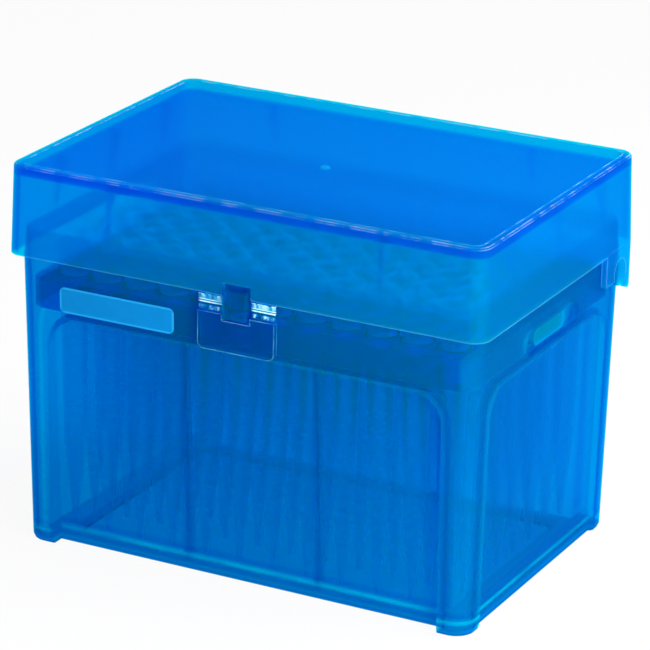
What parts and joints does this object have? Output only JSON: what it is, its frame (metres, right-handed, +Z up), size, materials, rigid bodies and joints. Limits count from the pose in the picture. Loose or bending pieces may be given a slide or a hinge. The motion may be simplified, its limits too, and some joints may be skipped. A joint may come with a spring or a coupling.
{
  "type": "pipette tip box",
  "caption": "Translucent hinged box with a snap latch, holding rows of filter pipette tips in a lift-out deck.",
  "frame": {"origin": "middle of the box's footprint on the table", "axes": "+X along the long front, -Y to the front, +Z up"},
  "size_m": [0.1232, 0.0873, 0.0947],
  "materials": {
    "box_blue": "translucent blue polypropylene, smooth moulded finish",
    "deck_blue": "blue polypropylene",
    "tip_clear": "natural translucent polypropylene",
    "filter_white": "porous white sintered plastic",
    "label_blue": "bare printed film label"
  },
  "bodies": {
    "base": {"base": "box_blue", "deck": "deck_blue", "label": "label_blue", "tips_row_a": "tip_clear", "tips_row_b": "tip_clear", "tips_row_c": "tip_clear", "tips_row_d": "tip_clear", "tips_row_e": "tip_clear", "tips_row_f": "tip_clear", "tips_row_g": "tip_clear", "tips_row_h": "tip_clear", "filters_row_a": "filter_white", "filters_row_b": "filter_white", "filters_row_c": "filter_white", "filters_row_d": "filter_white", "filters_row_e": "filter_white", "filters_row_f": "filter_white", "filters_row_g": "filter_white", "filters_row_h": "filter_white"},
    "lid": {"lid": "box_blue", "latch_films": "box_blue"},
    "latch": {"latch": "box_blue"}
  },
  "joints": [
    {"name": "lid_hinge", "type": "hinge", "parent": "base", "child": "lid", "pos_m": [0, 0.034, 0.067], "axis": [-1, 0, 0], "range_deg": [0, 80]},
    {"name": "latch_flip", "type": "hinge", "parent": "lid", "child": "latch", "pos_m": [0, -0.04225, 0.0707], "axis": [-1, 0, 0], "range_deg": [0, 110], "deforming": ["latch_films"]}
  ]
}
